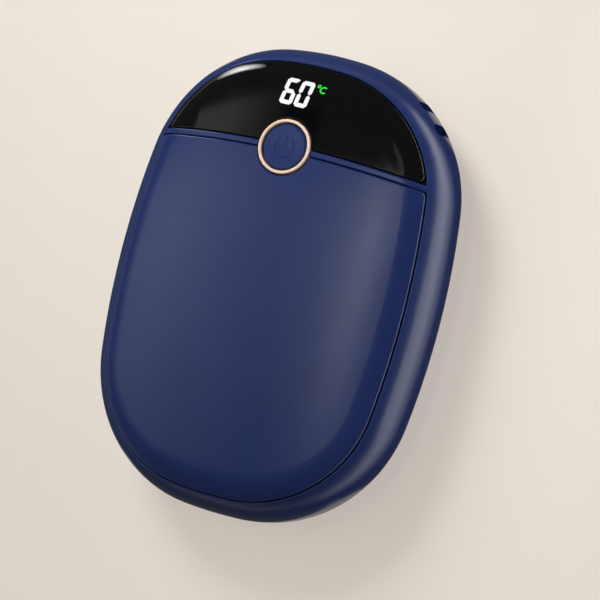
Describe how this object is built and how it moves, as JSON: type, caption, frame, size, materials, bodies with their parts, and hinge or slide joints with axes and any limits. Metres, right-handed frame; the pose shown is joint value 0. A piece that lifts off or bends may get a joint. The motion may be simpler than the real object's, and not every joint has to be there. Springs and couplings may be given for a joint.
{
  "type": "rechargeable hand warmer",
  "caption": "Pebble-shaped rechargeable hand warmer with a dark temperature window, ringed power button, clip-on covers, lanyard slots and a charging port in its lower end.",
  "frame": {"origin": "centre of the rest flat on the back, under the middle of the body", "axes": "+X to the right seen from the front, +Y towards the display end, +Z out of the front"},
  "size_m": [0.074, 0.1004, 0.0274],
  "materials": {
    "navy_plastic": "satin, soft-touch coated",
    "window_black": "polished dark tint",
    "rose_metal": "anodised rose gold",
    "gasket_rubber": "foam tape",
    "board_green": "solder mask",
    "black_plastic": "moulded",
    "white_plastic": "moulded",
    "plunger_plastic": "moulded",
    "steel": "plated",
    "chassis_plastic": "moulded",
    "cell_foil": "pouch foil",
    "tape_film": "double-sided tape",
    "grey_foam": "closed-cell foam",
    "heater_film": "polyimide film",
    "ferrite": "moulded ferrite",
    "red_lead": "silicone sleeve",
    "black_lead": "silicone sleeve",
    "white_lead": "silicone sleeve",
    "epoxy_bead": "epoxy dipped"
  },
  "bodies": {
    "housing": {"side_frame": "navy_plastic", "front_cover": "navy_plastic", "rear_cover": "navy_plastic", "window_lens": "window_black", "button_ring": "rose_metal", "window_gasket": "gasket_rubber", "display_board": "board_green", "main_board": "board_green", "cell_guard": "board_green", "switch_body": "black_plastic", "control_chip": "black_plastic", "usb_c_tongue": "black_plastic", "display_module": "black_plastic", "display_diffuser": "white_plastic", "battery_connector": "white_plastic", "heater_connector": "white_plastic", "board_screws": "steel", "chassis_screws": "steel", "usb_c_shell": "steel", "battery_chassis": "chassis_plastic", "battery_cell_rear": "cell_foil", "battery_cell_front": "cell_foil", "cell_tape": "tape_film", "rear_foam": "grey_foam", "front_foam": "grey_foam", "front_heater": "heater_film", "rear_heater": "heater_film", "display_ribbon": "heater_film", "power_coil": "ferrite", "battery_lead_red": "red_lead", "battery_lead_black": "black_lead", "front_heater_leads": "white_lead", "rear_heater_leads": "white_lead", "thermistor": "epoxy_bead"},
    "button": {"power_button": "navy_plastic"},
    "plunger": {"switch_plunger": "plunger_plastic"}
  },
  "joints": [
    {"name": "button_press", "type": "slide", "parent": "housing", "child": "button", "axis": [0, -0.0622, -0.9981], "range_m": [0, 0.00035], "stiffness_N_per_m": 2500},
    {"name": "plunger_press", "type": "slide", "parent": "housing", "child": "plunger", "axis": [0, -0.0622, -0.9981], "range_m": [0, 0.00035]}
  ],
  "couplings": [
    {"joint": "plunger_press", "follows": "button_press", "ratio": 1}
  ]
}
